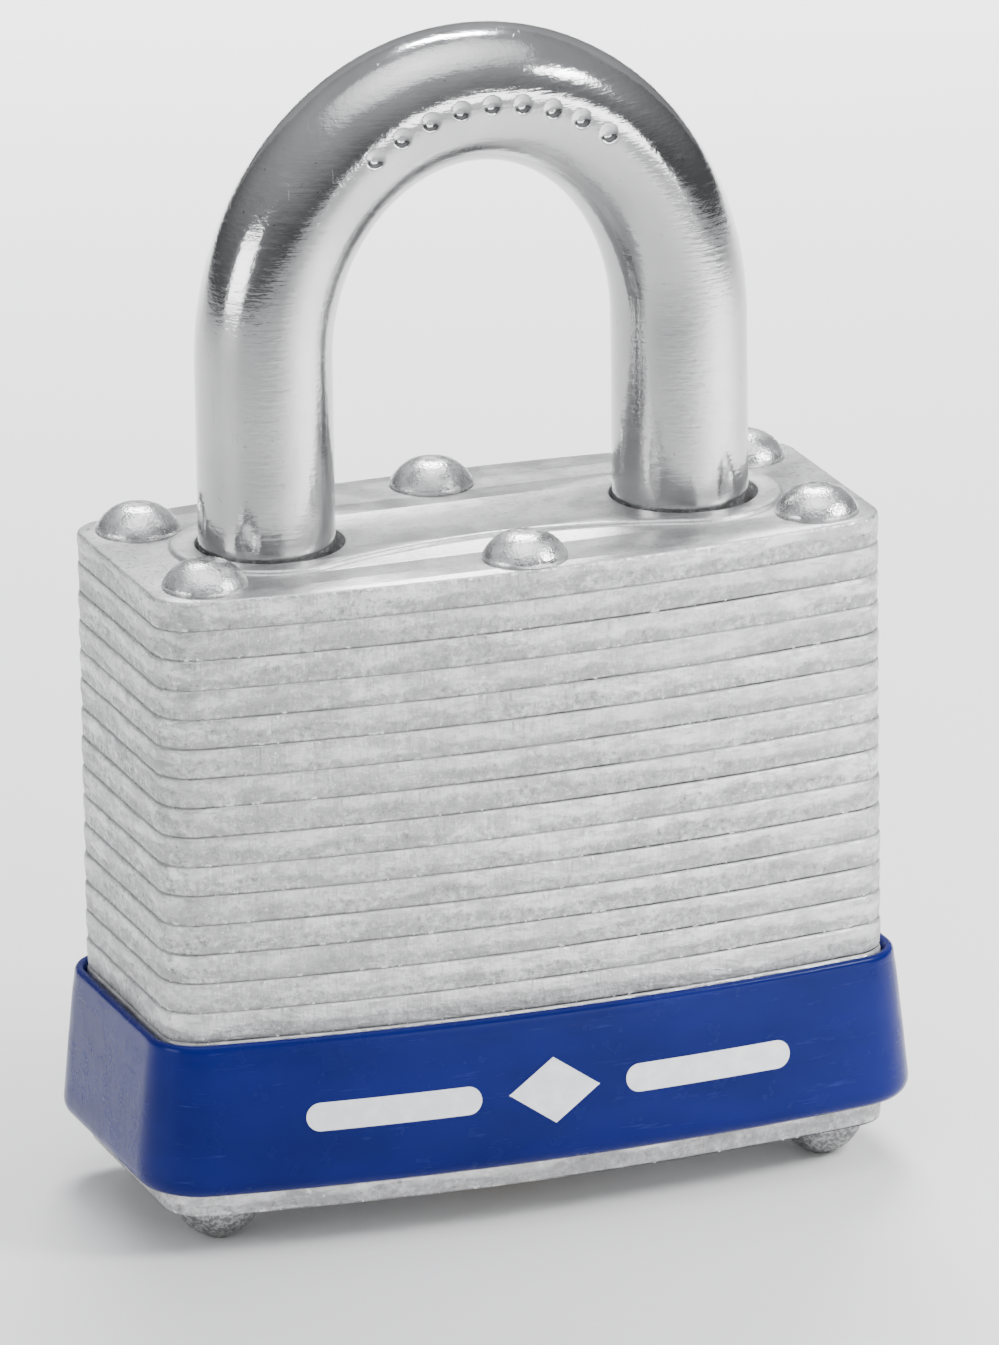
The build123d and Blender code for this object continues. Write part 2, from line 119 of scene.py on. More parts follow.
def sharpen(piece, angle=35):
    """Smooth shading with hard edges where faces meet at more than the angle."""
    mesh = piece.data
    bm = bmesh.new()
    bm.from_mesh(mesh)
    limit = math.radians(angle)
    for edge in bm.edges:
        if len(edge.link_faces) == 2:
            edge.smooth = edge.calc_face_angle(0.0) < limit
    bm.to_mesh(mesh)
    bm.free()


def finish_piece(piece, body, slot, *nodes):
    """Says what the piece rides on and hides the CAD nodes that it stands for; slot is not used."""
    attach(piece, body)
    if nodes:
        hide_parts(*nodes)


def plate_loop(grow=0.0, spacing=0.3 * MM):
    """Points round a plate's outline, grown outwards: shallow arcs front and back, round corners."""
    sag = FACE_RADIUS - HALF_DEPTH
    inner_x = HALF_WIDTH - CORNER_RADIUS
    # a corner circle touches the straight side and the face arc
    corner_y = math.sqrt((FACE_RADIUS - CORNER_RADIUS) ** 2 - inner_x**2) - sag
    lean = math.asin(inner_x / (FACE_RADIUS - CORNER_RADIUS))
    arc_radius = FACE_RADIUS + grow
    corner = CORNER_RADIUS + grow

    def arc(cx, cy, radius, start, stop):
        steps = max(2, round(abs(stop - start) * max(radius, 1e-6) / spacing))
        return [
            (cx + radius * math.cos(start + (stop - start) * i / steps),
             cy + radius * math.sin(start + (stop - start) * i / steps))
            for i in range(steps)
        ]

    def line(x, y0, y1):
        steps = max(1, round(abs(y1 - y0) / spacing))
        return [(x, y0 + (y1 - y0) * i / steps) for i in range(steps)]

    quarter = math.pi / 2
    points = arc(0, sag, arc_radius, -quarter - lean, -quarter + lean)
    points += arc(inner_x, -corner_y, corner, -quarter + lean, 0)
    points += line(HALF_WIDTH + grow, -corner_y, corner_y)
    points += arc(inner_x, corner_y, corner, 0, quarter - lean)
    points += arc(0, -sag, arc_radius, quarter - lean, quarter + lean)
    points += arc(-inner_x, corner_y, corner, quarter + lean, 2 * quarter)
    points += line(-HALF_WIDTH - grow, corner_y, -corner_y)
    points += arc(-inner_x, -corner_y, corner, 2 * quarter, 3 * quarter - lean)
    return points


def arc_points(x, y, radius, start, stop, steps):
    """Points along an arc, angles in degrees, without the last one."""
    turn = math.radians(stop - start) / steps
    angles = [math.radians(start) + turn * i for i in range(steps)]
    return [(x + radius * math.cos(a), y + radius * math.sin(a)) for a in angles]


def circle_loop(x, y, radius, steps=72):
    """Points round a hole, wound the other way from an outline."""
    turn = -2 * math.pi / steps
    return [(x + radius * math.cos(turn * i), y + radius * math.sin(turn * i)) for i in range(steps)]


def grown(loop, amount):
    """The loop with each point moved outwards from the metal by amount (a hole gets smaller)."""
    count = len(loop)
    moved = []
    for i in range(count):
        x0, y0 = loop[i - 1]
        x1, y1 = loop[(i + 1) % count]
        along = Vector((x1 - x0, y1 - y0)).normalized()
        moved.append((loop[i][0] + along.y * amount, loop[i][1] - along.x * amount))
    return moved


class Shell:
    """Collects the points and faces of one closed mesh."""

    def __init__(self):
        self.verts = []
        self.faces = []

    def ring(self, points):
        start = len(self.verts)
        self.verts += points
        return list(range(start, start + len(points)))

    def bridge(self, lower, upper):
        count = len(lower)
        for i in range(count):
            k = (i + 1) % count
            self.faces.append((lower[i], lower[k], upper[k], upper[i]))

    def skin(self, rings):
        """Joins each ring to the next."""
        for lower, upper in zip(rings, rings[1:]):
            self.bridge(lower, upper)

    def cap(self, rings):
        """Fills the first ring, leaving the others as holes."""
        loops = [[Vector((*self.verts[i][:2], 0)) for i in ring] for ring in rings]
        index = [i for ring in rings for i in ring]
        for triangle in tessellate_polygon(loops):
            self.faces.append(tuple(index[i] for i in triangle))

    def fan(self, ring, point):
        centre = len(self.verts)
        self.verts.append(point)
        for i in range(len(ring)):
            self.faces.append((ring[i], ring[(i + 1) % len(ring)], centre))


def lift_row(shell, loop, z):
    """Adds a flat loop to the shell as a ring at one height."""
    return shell.ring([(x, y, z) for x, y in loop])


# ---------------------------------------------------------------- material helpers


class Nodes:
    """A short way to write a material's node tree."""

    def __init__(self, name):
        self.material = bpy.data.materials.new(name)
        self.material.use_nodes = True
        self.tree = self.material.node_tree
        self.shader = self.tree.nodes["Principled BSDF"]
        self.place = self.add("ShaderNodeTexCoord").outputs["Object"]

    def add(self, kind, **settings):
        node = self.tree.nodes.new(kind)
        for key, value in settings.items():
            setattr(node, key, value)
        return node

    def feed(self, socket, value):
        if isinstance(value, (int, float)):
            socket.default_value = value
        elif isinstance(value, tuple):
            socket.default_value = value if len(value) == len(socket.default_value) else (*value, 1)
        else:
            self.tree.links.new(value, socket)

    def math(self, operation, a, b=0.0, clamp=False):
        node = self.add("ShaderNodeMath", operation=operation, use_clamp=clamp)
        self.feed(node.inputs[0], a)
        self.feed(node.inputs[1], b)
        return node.outputs[0]

    def stretch(self, scale, source=None, offset=None):
        """Coordinates times a scale for each axis, in 1/metres, with an optional offset."""
        node = self.add("ShaderNodeVectorMath", operation="MULTIPLY")
        self.feed(node.inputs[0], source or self.place)
        node.inputs[1].default_value = scale
        if offset is None:
            return node.outputs[0]
        moved = self.add("ShaderNodeVectorMath", operation="ADD")
        self.feed(moved.inputs[0], node.outputs[0])
        self.feed(moved.inputs[1], offset)
        return moved.outputs[0]

    def noise(self, vector, scale=1.0, detail=3.0, roughness=0.55, distortion=0.0):
        node = self.add("ShaderNodeTexNoise")
        self.feed(node.inputs["Vector"], vector)
        node.inputs["Scale"].default_value = scale
        node.inputs["Detail"].default_value = detail
        node.inputs["Roughness"].default_value = roughness
        node.inputs["Distortion"].default_value = distortion
        return node.outputs["Fac"]

    def span(self, value, low, high, to_low=0.0, to_high=1.0, smooth=True):
        """value taken from low..high to to_low..to_high."""
        kind = "SMOOTHSTEP" if smooth else "LINEAR"
        node = self.add("ShaderNodeMapRange", interpolation_type=kind)
        self.feed(node.inputs["Value"], value)
        self.feed(node.inputs["From Min"], low)
        self.feed(node.inputs["From Max"], high)
        self.feed(node.inputs["To Min"], to_low)
        self.feed(node.inputs["To Max"], to_high)
        return node.outputs["Result"]

    def mix(self, factor, a, b, blend="MIX"):
        node = self.add("ShaderNodeMix", data_type="RGBA", blend_type=blend)
        self.feed(node.inputs["Factor"], factor)
        self.feed(node.inputs["A"], a)
        self.feed(node.inputs["B"], b)
        return node.outputs["Result"]

    def bump(self, height, distance, strength=1.0, normal=None):
        node = self.add("ShaderNodeBump")
        node.inputs["Strength"].default_value = strength
        node.inputs["Distance"].default_value = distance
        self.feed(node.inputs["Height"], height)
        if normal is not None:
            self.feed(node.inputs["Normal"], normal)
        return node.outputs["Normal"]

    def surface(self, **sockets):
        for key, value in sockets.items():
            self.feed(self.shader.inputs[key.replace("_", " ")], value)
        return self.material


def grey(level):
    return (level, level, level * 1.005, 1)


# ---------------------------------------------------------------- materials


def plate_edge_material():
    """Zinc on a sheared edge: a burnished band, a torn band and dirt in the joints, new on every plate."""
    n = Nodes("plated_plate")
    split = n.add("ShaderNodeSeparateXYZ")
    n.feed(split.inputs[0], n.place)
    level = n.math("DIVIDE", n.math("SUBTRACT", split.outputs["Z"], STACK_LOW), PITCH)
    number = n.math("FLOOR", level)
    share = n.math("FRACT", level)
    dice = n.add("ShaderNodeTexWhiteNoise", noise_dimensions="1D")
    n.feed(dice.inputs["W"], number)
    chance = dice.outputs["Value"]
    shift = n.add("ShaderNodeCombineXYZ")
    n.feed(shift.inputs["X"], n.math("MULTIPLY", number, 17.31))
    n.feed(shift.inputs["Y"], n.math("MULTIPLY", number, 5.77))
    offset = shift.outputs[0]
    wander = n.noise(n.stretch((150, 150, 60), offset=offset), detail=4.0)
    ragged = n.noise(n.stretch((1900, 1900, 1500), offset=offset), detail=3.0, roughness=0.65)
    edge = n.math("MULTIPLY", ragged, 0.3)
    middle = n.math("ADD", n.span(wander, 0.3, 0.7, 0.05, 0.75, smooth=False), edge)
    torn = n.span(n.math("SUBTRACT", share, middle), -0.12, 0.06, 1.0, 0.0)
    grain = n.noise(n.stretch((3000, 3000, 2600), offset=offset), detail=5.0, roughness=0.75)
    smear = n.noise(n.stretch((900, 900, 2400), offset=offset), detail=4.0, roughness=0.7, distortion=0.4)
    streaks = n.noise(n.stretch((3200, 3200, 420), offset=offset), detail=3.0)
    blotch = n.noise(n.stretch((420, 420, 900), offset=offset), detail=5.0, roughness=0.7)
    cloud = n.noise(n.stretch((60, 60, 30), offset=offset), detail=2.0)
    side = n.span(n.math("ABSOLUTE", split.outputs["X"]), 0.85 * HALF_WIDTH, 0.99 * HALF_WIDTH)
    tone = n.mix(n.span(blotch, 0.38, 0.62), grey(0.50), grey(0.92))
    tone = n.mix(n.span(smear, 0.5, 0.64, 0.0, 0.6), tone, grey(0.38))
    tone = n.mix(n.math("MULTIPLY", torn, n.span(grain, 0.40, 0.62, 0.0, 0.7)), tone, grey(0.38))
    pitted = n.math("ADD", n.math("MULTIPLY", torn, 0.7), side, clamp=True)
    pits = n.math("MULTIPLY", pitted, n.span(grain, 0.56, 0.7))
    tone = n.mix(pits, tone, grey(0.17))
    tone = n.mix(n.span(grain, 0.34, 0.42, 0.85, 0.0), tone, grey(1.0))
    tone = n.mix(n.span(cloud, 0.35, 0.7, 0.0, 0.3), tone, grey(0.52))
    tone = n.mix(n.span(chance, 0.2, 0.9, 0.0, 0.22), tone, grey(0.5))
    joint = n.math("MAXIMUM", n.span(share, 0.0, 0.085, 1.0, 0.0), n.span(share, 0.94, 0.98))
    gone = n.span(wander, 0.36, 0.54, 0.25, 1.0)
    broken = n.math("MULTIPLY", gone, n.span(ragged, 0.30, 0.40, 0.3, 1.0))
    far = n.span(split.outputs["X"], -6 * MM, 4 * MM, 0.6, 1.0)
    dirt = n.math("MULTIPLY", n.math("MULTIPLY", joint, broken), n.span(chance, 0.05, 0.35, 0.3, 1.0))
    covered = n.span(level, PLATE_COUNT - 0.12, PLATE_COUNT - 0.08, 1.0, 0.0)
    tone = n.mix(n.math("MULTIPLY", n.math("MULTIPLY", dirt, far), covered), tone, grey(0.008))
    beads = n.math("MULTIPLY", n.span(share, 0.03, 0.14, 1.0, 0.0), n.span(ragged, 0.60, 0.66))
    rim = n.math("MULTIPLY", n.math("SUBTRACT", 1.0, covered), n.span(ragged, 0.5, 0.6))
    tone = n.mix(n.math("MAXIMUM", beads, rim), tone, grey(1.0))
    rough = n.math("ADD", n.span(blotch, 0.3, 0.7, 0.34, 0.48), n.math("MULTIPLY", torn, 0.16))
    height = n.mix(torn, n.math("MULTIPLY", streaks, 0.4), grain)
    normal = n.bump(height, 0.00022, 0.8)
    normal = n.bump(smear, 0.0003, 0.5, normal)
    return n.surface(Base_Color=tone, Metallic=0.7, Roughness=rough, Normal=normal)


def plate_face_material():
    """Zinc on the rolled face of the sheet: smoother, with rubbed marks and shallow waves."""
    n = Nodes("plated_face")
    wave = n.noise(n.stretch((95, 95, 95)), detail=2.0)
    blotch = n.noise(n.stretch((520, 520, 520)), detail=5.0, roughness=0.7)
    grain = n.noise(n.stretch((3200, 3200, 3200)), detail=3.0, roughness=0.65)
    rubs = n.noise(n.stretch((240, 2600, 400)), detail=3.0)
    split = n.add("ShaderNodeSeparateXYZ")
    n.feed(split.inputs[0], n.place)
    rim = n.span(n.math("ABSOLUTE", split.outputs["X"]), 0.82 * HALF_WIDTH, 0.98 * HALF_WIDTH)
    tone = n.mix(n.span(blotch, 0.35, 0.68), grey(0.56), grey(0.70))
    tone = n.mix(n.span(rubs, 0.6, 0.72, 0.0, 0.2), tone, grey(0.48))
    worn = n.math("MULTIPLY", n.math("ADD", rim, 0.5, clamp=True), n.span(grain, 0.54, 0.66))
    tone = n.mix(n.math("MULTIPLY", worn, 0.8), tone, grey(0.25))
    rough = n.math("ADD", n.span(blotch, 0.3, 0.7, 0.33, 0.40), n.span(rubs, 0.55, 0.75, 0.0, 0.06))
    rough = n.math("ADD", rough, n.math("MULTIPLY", rim, 0.1))
    normal = n.bump(wave, 0.0006, 0.1)
    normal = n.bump(grain, 0.00006, 0.4, normal)
    return n.surface(Base_Color=tone, Metallic=0.85, Roughness=rough, Normal=normal)


def rivet_material():
    """A peened and plated head: hammer facets and small pits; under the body duller, and darker with dirt and
    painted shade.
    """
    n = Nodes("peened_rivet")
    facets = n.add("ShaderNodeTexVoronoi", feature="SMOOTH_F1")
    n.feed(facets.inputs["Vector"], n.stretch((1500, 1500, 1500)))
    blotch = n.noise(n.stretch((900, 900, 900)), detail=4.0, roughness=0.7)
    grain = n.noise(n.stretch((4200, 4200, 4200)), detail=3.0, roughness=0.7)
    split = n.add("ShaderNodeSeparateXYZ")
    n.feed(split.inputs[0], n.place)
    under = n.span(split.outputs["Z"], STACK_LOW - 0.1 * MM, STACK_LOW + 0.1 * MM, 1.0, 0.0)
    tone = n.mix(n.span(blotch, 0.35, 0.65), grey(0.62), grey(0.86))
    tone = n.mix(n.span(grain, 0.62, 0.75, 0.0, 0.5), tone, grey(0.22))
    # under the body the heads take a darker tone: partly dirt, partly painted shade
    worn = n.mix(n.span(grain, 0.42, 0.6), grey(0.10), grey(0.42))
    tone = n.mix(n.math("MULTIPLY", under, 0.85), tone, worn)
    rough = n.math("ADD", n.span(blotch, 0.3, 0.7, 0.2, 0.38), n.math("MULTIPLY", under, 0.2))
    normal = n.bump(facets.outputs["Distance"], 0.0003, 0.1)
    normal = n.bump(grain, 0.00006, 0.4, normal)
    return n.surface(Base_Color=tone, Metallic=0.95, Roughness=rough, Normal=normal)


def shackle_material():
    """Polished and plated bar: fine marks across it, a few scratches and small pits."""
    n = Nodes("polished_bar")
    cross = n.noise(n.stretch((500, 900, 5200)), detail=3.0, roughness=0.6)
    haze = n.noise(n.stretch((160, 160, 160)), detail=3.0)
    pits = n.noise(n.stretch((2600, 2600, 2600)), detail=2.0)
    scratch = n.noise(n.stretch((700, 700, 120)), detail=2.0, distortion=0.6)
    line = n.span(n.math("ABSOLUTE", n.math("SUBTRACT", scratch, 0.5)), 0.0, 0.006, 1.0, 0.0)
    line = n.math("MULTIPLY", line, n.span(haze, 0.5, 0.62))
    tone = n.mix(n.span(haze, 0.3, 0.7), grey(0.46), grey(0.57))
    tone = n.mix(n.span(pits, 0.70, 0.76, 0.0, 0.7), tone, grey(0.3))
    tone = n.mix(n.math("MULTIPLY", line, 0.35), tone, grey(0.35))
    rough = n.math("ADD", n.span(haze, 0.3, 0.7, 0.10, 0.17), n.span(cross, 0.5, 0.75, 0.0, 0.10))
    normal = n.bump(cross, 0.00003, 0.35)
    normal = n.bump(n.math("ADD", pits, n.math("MULTIPLY", line, -0.4)), 0.00005, 0.25, normal)
    return n.surface(Base_Color=tone, Metallic=1.0, Roughness=rough, Normal=normal)


def bumper_material():
    """Glossy blue vinyl with a faint flow pattern, rubbed edges and small scuffs."""
    n = Nodes("blue_vinyl")
    flow = n.noise(n.stretch((90, 90, 220)), detail=3.0)
    peel = n.noise(n.stretch((700, 700, 700)), detail=3.0)
    scuff = n.noise(n.stretch((260, 260, 2400)), detail=3.0, roughness=0.7)
    tone = n.mix(n.span(flow, 0.3, 0.7), (0.003, 0.006, 0.095), (0.005, 0.009, 0.13))
    tone = n.mix(n.span(scuff, 0.66, 0.76, 0.0, 0.25), tone, (0.05, 0.07, 0.30))
    rough = n.math("ADD", n.span(peel, 0.3, 0.7, 0.20, 0.28), n.span(scuff, 0.6, 0.75, 0.0, 0.15))
    normal = n.bump(peel, 0.00012, 0.18)
    n.surface(Specular_IOR_Level=0.16, Specular_Tint=(0.62, 0.74, 1.0))
    return n.surface(Base_Color=tone, Roughness=rough, Normal=normal)


def print_material():
    """Thin white ink, a little uneven."""
    n = Nodes("white_print")
    wear = n.noise(n.stretch((1300, 1300, 1300)), detail=3.0)
    tone = n.mix(n.span(wear, 0.35, 0.7), (0.78, 0.80, 0.86), (0.90, 0.91, 0.93))
    rough = n.span(wear, 0.3, 0.7, 0.3, 0.42)
    return n.surface(Base_Color=tone, Roughness=rough, Normal=n.bump(wear, 0.00004, 0.3))


def metal_material(name, low, high, roughness, scale=900):
    """Machined or stamped metal: turning marks, stains and small dents."""
    n = Nodes(name)
    stain = n.noise(n.stretch((scale, scale, scale)), detail=4.0, roughness=0.65)
    turned = n.noise(n.stretch((300, 300, 6000)), detail=2.0)
    tone = n.mix(n.span(stain, 0.35, 0.65), low, high)
    rough = n.span(stain, 0.3, 0.7, roughness, roughness + 0.14)
    rough = n.math("ADD", rough, n.math("MULTIPLY", turned, 0.05))
    normal = n.bump(turned, 0.00004, 0.3)
    return n.surface(Base_Color=tone, Metallic=1.0, Roughness=rough, Normal=normal)


EDGE = plate_edge_material()
FACE = plate_face_material()
RIVET = rivet_material()
SHACKLE = shackle_material()
BLUE = bumper_material()
PRINT = print_material()
BRASS = metal_material("machined_brass", (0.48, 0.34, 0.12), (0.72, 0.55, 0.25), 0.22)
TOOL = metal_material("hardened_steel", grey(0.28), grey(0.45), 0.3)
SPRING = metal_material("spring_wire", grey(0.35), grey(0.6), 0.25)


# ---------------------------------------------------------------- plates

# a plate's edge from its lower to its upper face: height as a share of the plate, and inset in mm
EDGE_ROWS = [
    (0.0, 0.110), (0.03, 0.060), (0.09, 0.030), (0.18, 0.020), (0.28, 0.014), (0.38, 0.010), (0.48, 0.006),
    (0.58, 0.002), (0.68, 0.0), (0.78, 0.0), (0.86, 0.004), (0.92, 0.028), (0.965, 0.075), (1.0, 0.165),
]
# the edge of the top plate's raised field: growth and height above the plate, in mm
BOSS_ROWS = [(0.10, 0.0), (0.04, 0.03), (0.0, 0.10), (-0.03, 0.17), (-0.10, 0.225), (-0.22, BOSS_HEIGHT / MM)]
BOSS_RADIUS, BOSS_WAIST = 5.2 * MM, 3.1 * MM
HOLE_ROLL = 0.16 * MM
CORNER_HOLE, MIDDLE_HOLE = 1.66 * MM, 1.31 * MM
STEM_HOLE, PLUG_HOLE, DRAIN_HOLE = 2.55 * MM, 4.2 * MM, 1.2 * MM


def uneven(x, y, z, seed):
    """How far a point on a plate's edge lies inside the outline, in metres."""
    share = (z - STACK_LOW) / PITCH % 1.0
    slow = noise.noise(Vector((x * 160, y * 160, seed * 3.7)))
    fine = noise.noise(Vector((x * 900, y * 900, z * 700 + seed * 9.1)))
    torn = max(0.0, min(1.0, (0.25 + 0.55 * (0.5 + 0.5 * slow) - share) * 6))
    return (0.016 * (1 + slow) + 0.04 * torn * (1 + fine)) * MM


def boss_loop(grow=0.0):
    """The raised field of the top plate: a disc round each hole, flowing into a slimmer waist."""
    flank = (LEG_X**2 + BOSS_WAIST**2 - BOSS_RADIUS**2) / (2 * (BOSS_RADIUS - BOSS_WAIST))
    swing = math.degrees(math.atan2(LEG_X, BOSS_WAIST + flank))
    points = []
    for turn in (1, -1):
        ends = arc_points(0, -BOSS_WAIST - flank, flank - grow, 90 + swing, 90 - swing, 60)
        ends += arc_points(LEG_X, 0, BOSS_RADIUS + grow, -90 - swing, 90 + swing, 90)
        points += [(turn * x, turn * y) for x, y in ends]
    return points


def plate_holes(number):
    """The loops that pass right through a plate, each with whether its upper edge is rolled."""
    x, y = CORNER_RIVET
    holes = [circle_loop(sx * x, sy * y, CORNER_HOLE, 32) for sx in (-1, 1) for sy in (-1, 1)]
    if number <= MIDDLE_RIVET_PLATES:
        # a lever's pocket takes in the rivet hole on its side
        sides = {FRONT_LEVER_PLATE: (-1,), REAR_LEVER_PLATE: (1,)}.get(number, (-1, 1))
        holes += [circle_loop(0, side * MIDDLE_RIVET, MIDDLE_HOLE, 32) for side in sides]
    legs, others = [], []
    if number <= MIDDLE_RIVET_PLATES and number != FRONT_LEVER_PLATE:
        legs.append(circle_loop(LEG_X, 0, HOLE_RADIUS))
    if number < SPRING_SEAT_PLATE and number not in (REAR_LEVER_PLATE, RETAINER_PLATE):
        legs.append(circle_loop(-LEG_X, 0, HOLE_RADIUS))
    if number in (FRONT_LEVER_PLATE, REAR_LEVER_PLATE):
        others.append(pocket_loop(-1 if number == FRONT_LEVER_PLATE else 1))
    if number == RETAINER_PLATE:
        others.append(retainer_loop())
    if REAR_LEVER_PLATE < number <= RETAINER_PLATE:
        others.append(circle_loop(0, 0, STEM_HOLE, 48))
    if RETAINER_PLATE < number < PLATE_COUNT:
        others.append(cylinder_loop())
    if number == PLATE_COUNT:
        others += [circle_loop(0, 0, PLUG_HOLE), circle_loop(-LEG_X, 0, DRAIN_HOLE, 32)]
    groups = [(holes, False), (legs, True), (others, False)]
    return [(loop, rolled) for loops, rolled in groups for loop in loops]


def pocket_loop(turn):
    """A lever's pocket, joined to the hole of the leg that it locks."""
    outline = [
        (-8.2, 6.8), (-5.4, 6.8), (-3.4, 5.3), (-0.6, 3.8), (5.3, -2.0), (5.5, -5.2), (3.7, -8.15),
        (-2.2, -8.15), (-3.2, -7.7),
    ]
    points = [(x * MM, y * MM) for x, y in outline]
    points += arc_points(-LEG_X, 0, HOLE_RADIUS, -40, -320, 60)
    points.append((-8.7 * MM, 2.9 * MM))
    return [(turn * x, turn * y) for x, y in points]


def retainer_loop():
    """The clip's pocket round the heel leg."""
    half_x, half_y, corner = 4.02 * MM, 4.12 * MM, 1.0 * MM
    points = []
    for sx, sy, start in ((1, -1, 0), (-1, -1, -90), (-1, 1, -180), (1, 1, -270)):
        cx, cy = -LEG_X + sx * (half_x - corner), sy * (half_y - corner)
        points += arc_points(cx, cy, corner, start, start - 90, 8)
    return points


def cylinder_loop():
    """The hole for the cylinder: round, with a straight bay for the pin tower."""
    radius, reach, half = 6.28 * MM, 13.28 * MM, 2.78 * MM
    lean = math.degrees(math.asin(half / radius))
    points = arc_points(0, 0, radius, -lean, -360 + lean, 80)
    return points + [(reach, half), (reach, -half)]


def edge_rings(shell, number, low):
    """The rings of a plate's outer edge, from its lower to its upper face."""
    slack = 0.03 * MM * (0.5 + 0.5 * noise.noise(Vector((number * 2.71, 0.3, 0.9))))
    outline = plate_loop()
    deeper = grown(outline, -1 * MM)
    rings = []
    for share, inset in EDGE_ROWS:
        z = low + share * PITCH
        points = []
        for (x, y), (ox, oy) in zip(grown(outline, -inset * MM - slack), deeper):
            deep = uneven(x, y, z - 1e-7, number)
            inward = Vector((ox - x, oy - y)).normalized()
            points.append((x + inward.x * deep, y + inward.y * deep, z))
        rings.append(shell.ring(points))
    return rings


def hole_rings(shell, loop, low, high, rolled):
    """The rings of a hole's wall, with its upper edge rolled over or left square."""
    walls = [lift_row(shell, loop, low), lift_row(shell, loop, high - HOLE_ROLL)]
    if rolled:
        walls.append(lift_row(shell, grown(loop, -HOLE_ROLL * 0.3), high - HOLE_ROLL * 0.3))
        walls.append(lift_row(shell, grown(loop, -HOLE_ROLL), high))
    else:
        walls.append(lift_row(shell, loop, high))
    return walls


def make_plate(node, number):
    low = STACK_LOW + (PLATE_COUNT - number) * PITCH
    top = low + PITCH
    shell = Shell()
    rings = edge_rings(shell, number, low)
    shell.skin(rings)
    bottoms, tops, boss_tops = [], [], []
    for loop, rolled in plate_holes(number):
        in_boss = number == 1 and rolled
        walls = hole_rings(shell, loop, low, top + (BOSS_HEIGHT if in_boss else 0), rolled)
        shell.skin(walls)
        bottoms.append(walls[0])
        (boss_tops if in_boss else tops).append(walls[-1])
    if number == 1:
        steps = [lift_row(shell, boss_loop(grow * MM), top + z * MM) for grow, z in BOSS_ROWS]
        shell.skin(steps)
        shell.cap([steps[-1], *boss_tops])
        tops.append(steps[0])
    shell.cap([rings[0], *bottoms])
    shell.cap([rings[-1], *tops])
    piece = new_piece(node + "_punched", shell.verts, shell.faces, EDGE)
    piece.data.materials.append(FACE)
    for polygon in piece.data.polygons:
        if abs(polygon.normal.z) > 0.75 or polygon.center.z > top:
            polygon.material_index = 1
    sharpen(piece, 40)
    finish_piece(piece, "body", "plated_steel", node)


def plate_nodes():
    """The plates' node names from the top down."""
    names = [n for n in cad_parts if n.endswith("_plate") or n.startswith(("spacer_", "cylinder_plate"))]
    return sorted(names, key=lambda n: -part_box(n)[0].z)


for number, node in enumerate(plate_nodes(), start=1):
    make_plate(node, number)


# ---------------------------------------------------------------- rivets


def dome_profile(height):
    """(radius, rise) pairs of a head: a short straight rim, then one arc up to a small flat."""
    rim, flat = 0.25 * MM, 0.6 * MM
    foot = Vector((HEAD_RADIUS, rim))
    shoulder = Vector((HEAD_RADIUS * 0.8, rim + (height - rim) * 0.52))
    crown = Vector((flat, height))
    middle, way = (foot + shoulder) / 2, (shoulder - foot).orthogonal()
    middle_2, way_2 = (shoulder + crown) / 2, (crown - shoulder).orthogonal()
    gap = middle_2 - middle
    reach = (gap.x * way_2.y - gap.y * way_2.x) / (way.x * way_2.y - way.y * way_2.x)
    centre = middle + way * reach
    start = math.atan2(foot.y - centre.y, foot.x - centre.x)
    stop = math.atan2(crown.y - centre.y, crown.x - centre.x)
    radius = (foot - centre).length
    steps = 18
    profile = [(HEAD_RADIUS * 0.985, 0.0), (HEAD_RADIUS, rim * 0.3), (HEAD_RADIUS, rim * 0.75)]
    for i in range(steps + 1):
        a = start + (stop - start) * i / steps
        profile.append((centre.x + radius * math.cos(a), centre.y + radius * math.sin(a)))
    return profile + [(flat * 0.55, height), (flat * 0.2, height)]


def rivet_head(shell, x, y, level, height, direction, seed):
    """A peened dome, a little dented. direction is 1 above the plates and -1 below them."""
    steps = 80
    rings = []
    for radius, rise in dome_profile(height):
        points = []
        for k in range(steps):
            a = 2 * math.pi * k / steps
            px, py = math.cos(a) * radius, math.sin(a) * radius
            dent = noise.noise(Vector((px * 800 + seed * 5, py * 800, rise * 800)))
            broad = noise.noise(Vector((px * 300 + seed * 7, py * 300, rise * 300)))
            share = min(1.0, rise / (0.3 * MM))
            inner = radius - 0.022 * MM * (1 + broad) - 0.012 * MM * (1 + dent) * share
            fall = (0.03 * (1 + broad) + 0.016 * (1 + dent)) * MM * share
            if direction < 0 and rise >= height * 0.999:
                fall = 0.0
            inner = max(inner, 0.02 * MM)
            z = level + direction * max(0.0, rise - fall)
            points.append((x + math.cos(a) * inner, y + math.sin(a) * inner, z))
        rings.append(shell.ring(points))
    shell.skin(rings)
    crown = sum(shell.verts[i][2] for i in rings[-1]) / steps
    shell.fan(rings[-1], (x, y, crown))
    return rings[0]


def make_rivets(name, spots, shank_radius, low_level, bottom_height, node):
    """Rivets at the spots, with a head below too where bottom_height isn't 0."""
    shell = Shell()
    for seed, (x, y) in enumerate(spots):
        upper = rivet_head(shell, x, y, STACK_HIGH, HEAD_HEIGHT, 1, seed + 1)
        shank = arc_points(x, y, shank_radius, 0, 360, 80)
        shank_top = lift_row(shell, shank, STACK_HIGH)
        shank_low = lift_row(shell, shank, low_level)
        shell.bridge(upper, shank_top)
        shell.bridge(shank_top, shank_low)
        if bottom_height:
            lower = rivet_head(shell, x, y, low_level, bottom_height, -1, seed + 11)
            shell.bridge(shank_low, lower)
        else:
            shell.fan(shank_low, (x, y, low_level))
    piece = new_piece(name, shell.verts, shell.faces, RIVET)
    sharpen(piece, 50)
    finish_piece(piece, "body", "rivet_steel", node)


